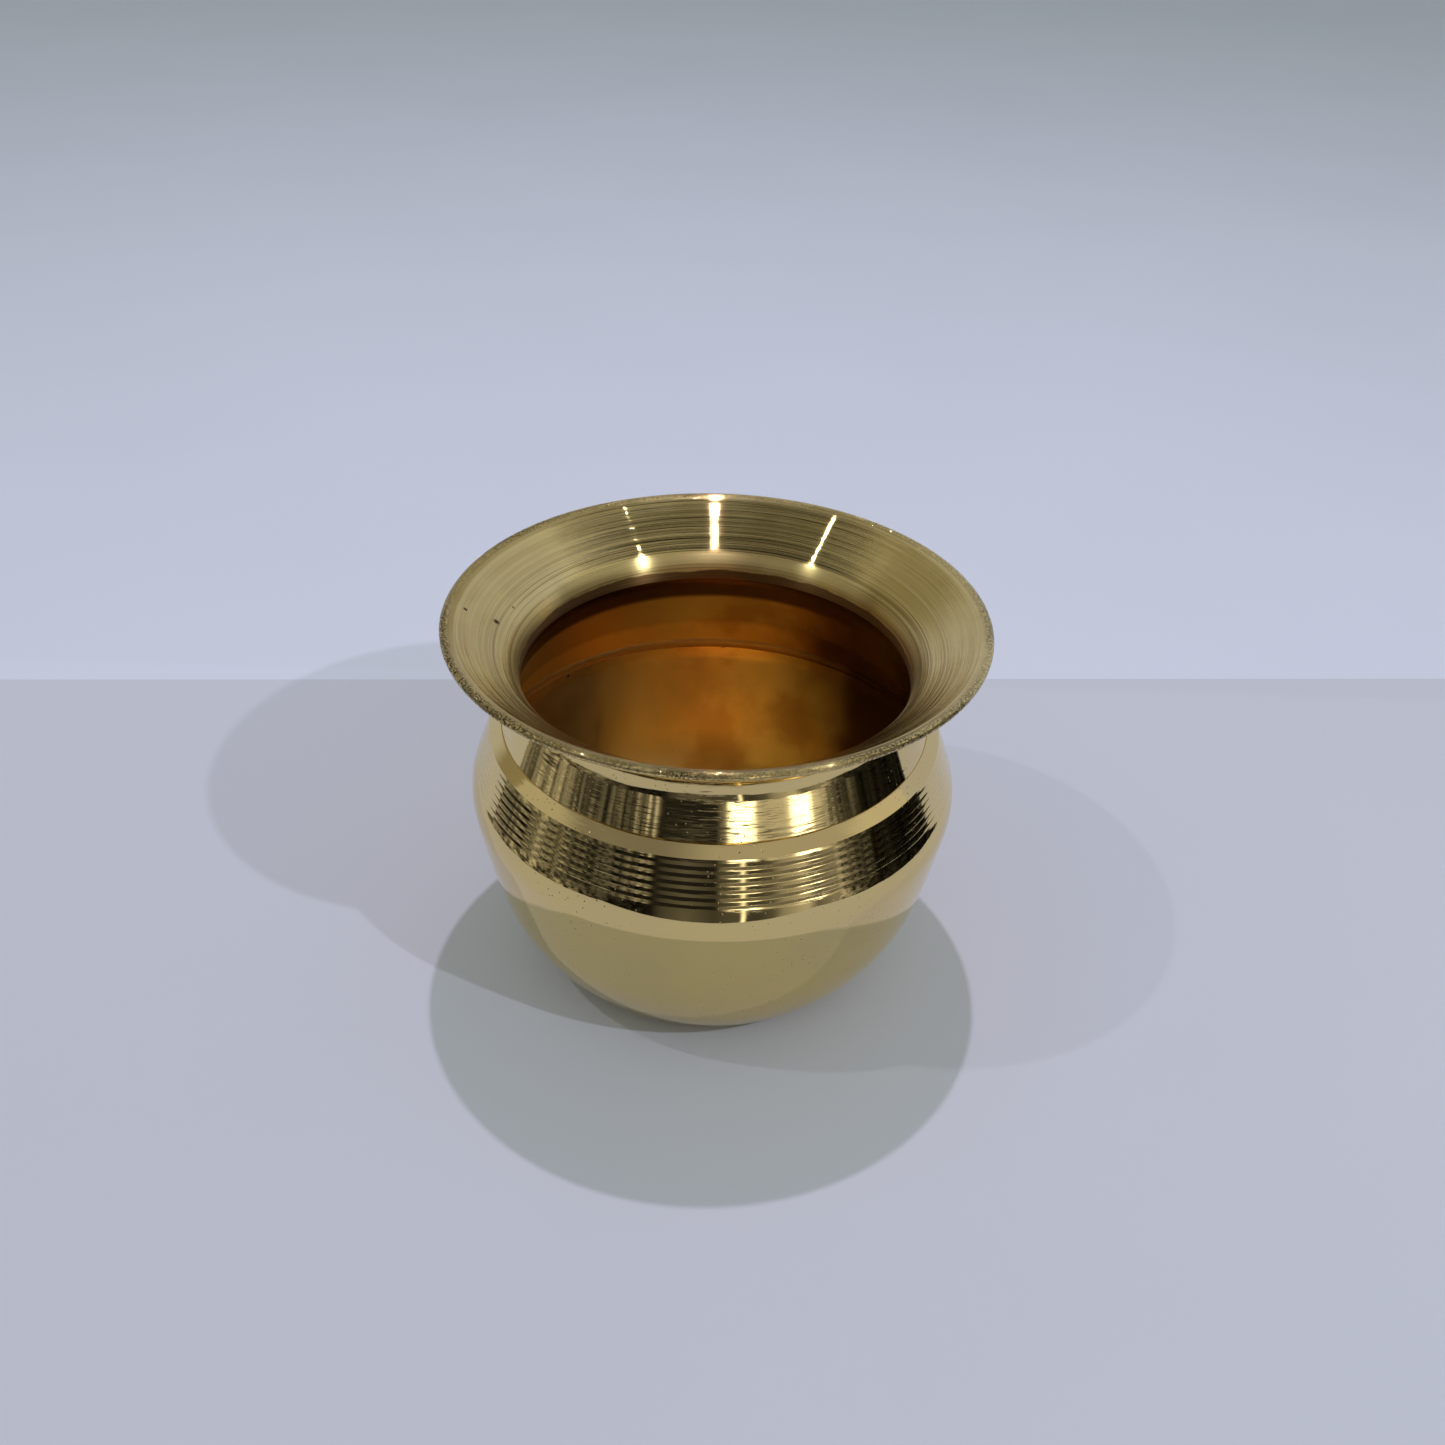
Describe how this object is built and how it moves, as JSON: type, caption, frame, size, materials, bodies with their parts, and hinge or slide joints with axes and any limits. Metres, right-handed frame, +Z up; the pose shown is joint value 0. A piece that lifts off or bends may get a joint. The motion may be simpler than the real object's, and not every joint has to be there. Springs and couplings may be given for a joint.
{
  "type": "kalash pot",
  "caption": "Round-bellied brass pot with a grooved shoulder, narrow neck and wide flared mouth, for holding water and offerings.",
  "frame": {"origin": "centre of the flat base, on the surface the pot stands on", "axes": "+Z up along the pot's turning axis, through the middle of the mouth; +X and +Y are level and arbitrary, because the pot is round"},
  "size_m": [0.1, 0.1, 0.075],
  "materials": {
    "bowl": "polished outside, pickled orange inside",
    "shoulder": "polished with turned grooves outside, pickled orange inside",
    "mouth_collar": "polished outside, brushed inside the flare",
    "braze": "dull as brazed"
  },
  "bodies": {
    "root": {"bowl": "bowl", "shoulder": "shoulder", "mouth_collar": "mouth_collar", "belly_braze": "braze", "neck_braze": "braze"}
  },
  "joints": []
}
